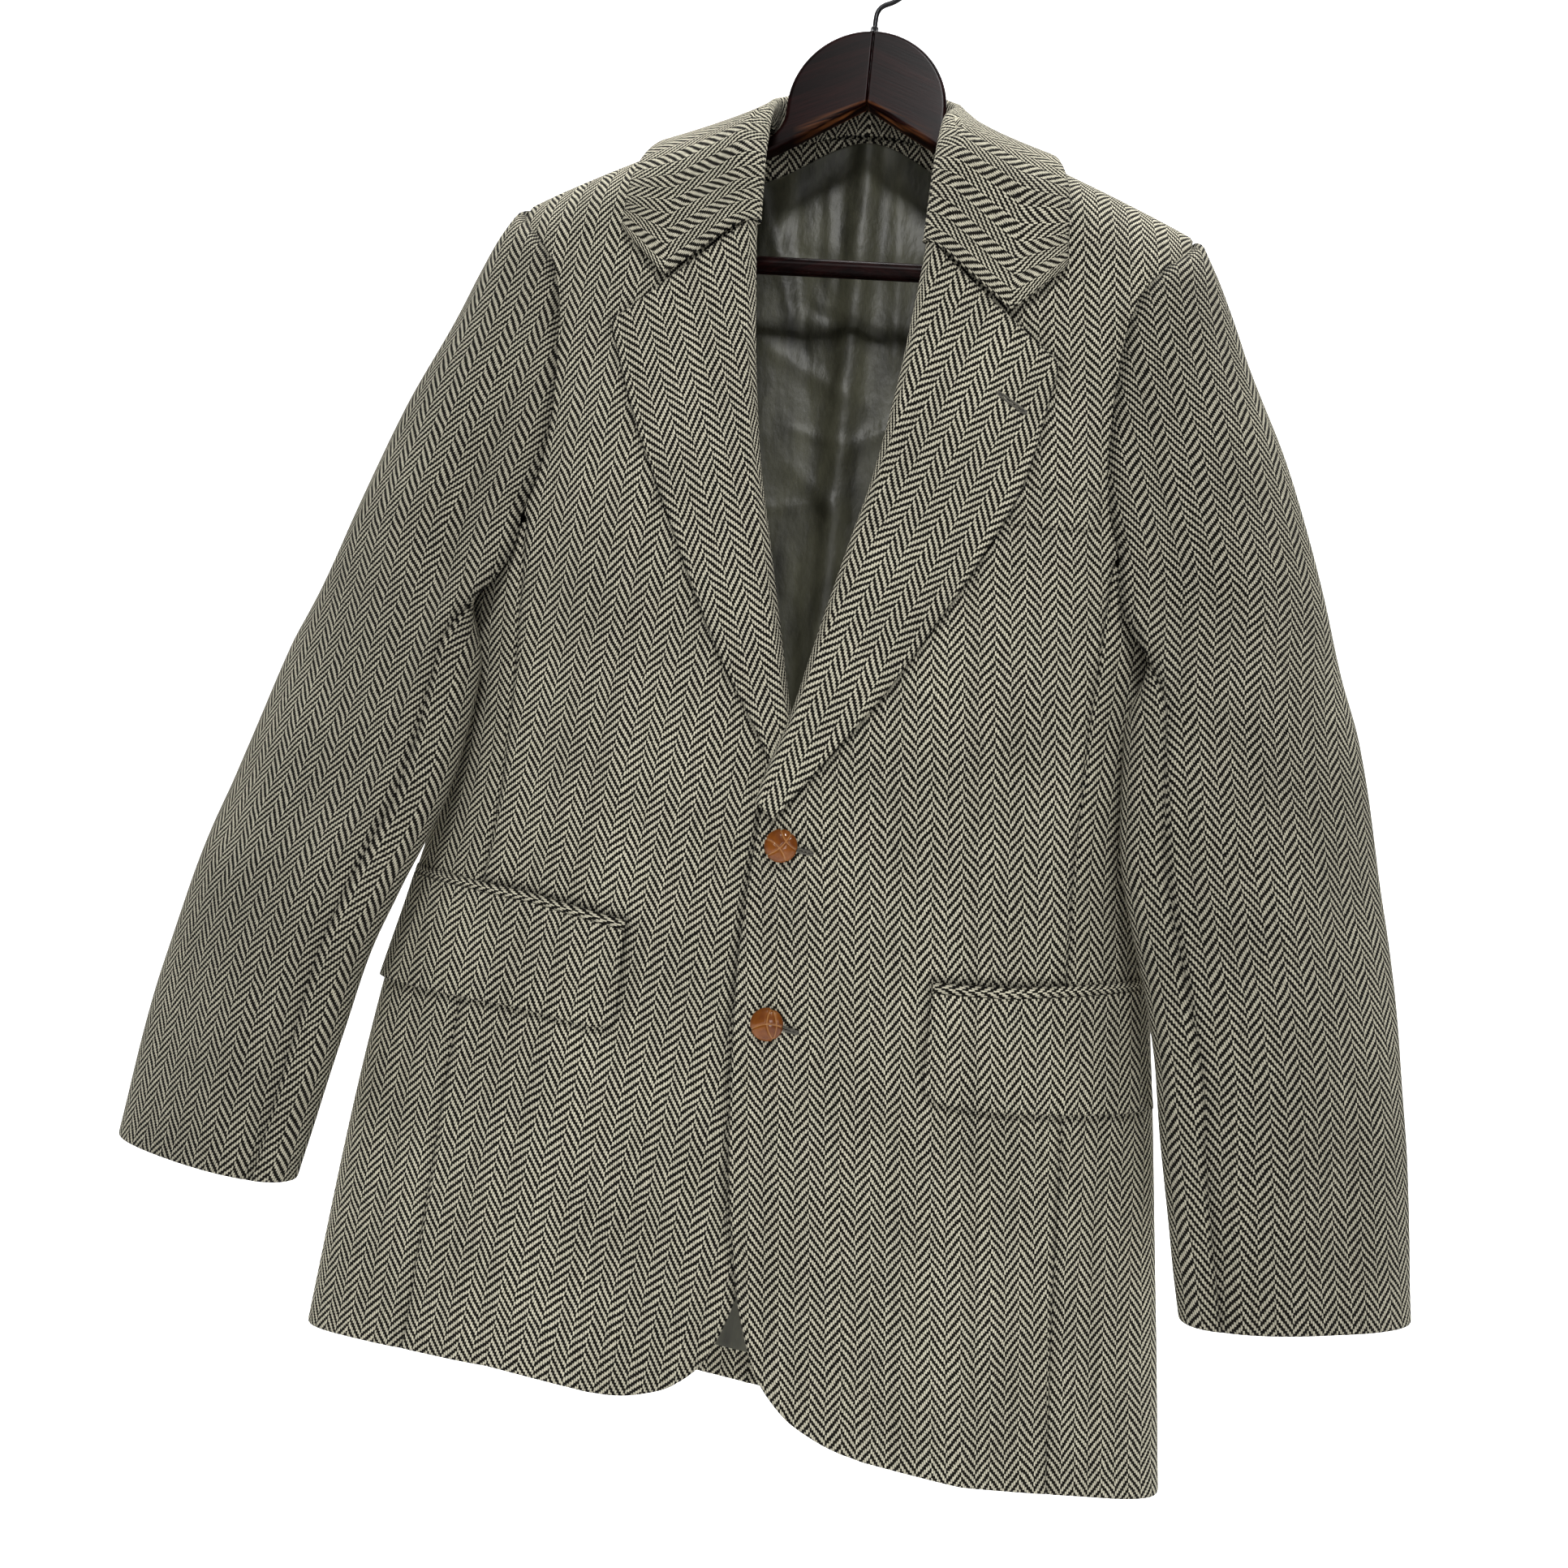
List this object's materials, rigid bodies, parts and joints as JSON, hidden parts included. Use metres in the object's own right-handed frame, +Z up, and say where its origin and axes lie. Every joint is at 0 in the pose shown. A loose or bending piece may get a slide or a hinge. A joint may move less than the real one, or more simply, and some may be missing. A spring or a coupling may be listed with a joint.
{
  "type": "tweed jacket on a wooden hanger",
  "caption": "Single-breasted herringbone tweed jacket with notched lapels, slanted flap pockets and leather buttons, hanging on a wooden trouser hanger.",
  "frame": {"origin": "inside of the hook's top, where a rail carries it", "axes": "+Z up; the front faces -Y; the wearer's left is +X"},
  "size_m": [0.7712, 0.1436, 0.9366],
  "materials": {
    "tweed": "matte wool herringbone",
    "lining": "satin",
    "leather": "glossy",
    "wood": "dark stained and lacquered",
    "metal": "black, semi-gloss"
  },
  "bodies": {
    "root": {"front_left": "tweed", "front_right": "tweed", "back_left": "tweed", "back_right": "tweed", "side_body_left": "tweed", "side_body_right": "tweed", "upper_sleeve_left": "tweed", "upper_sleeve_right": "tweed", "under_sleeve_left": "tweed", "under_sleeve_right": "tweed", "lapel_left": "tweed", "lapel_right": "tweed", "collar": "tweed", "pocket_flap_left": "tweed", "pocket_flap_right": "tweed", "pocket_jet_left": "tweed", "pocket_jet_right": "tweed", "breast_welt_left": "tweed", "lining_back": "lining", "button_lower": "leather", "button_upper": "leather", "hanger_arm_left": "wood", "hanger_arm_right": "wood", "trouser_bar": "wood", "hook_ferrule": "metal", "hook": "metal"}
  },
  "joints": []
}
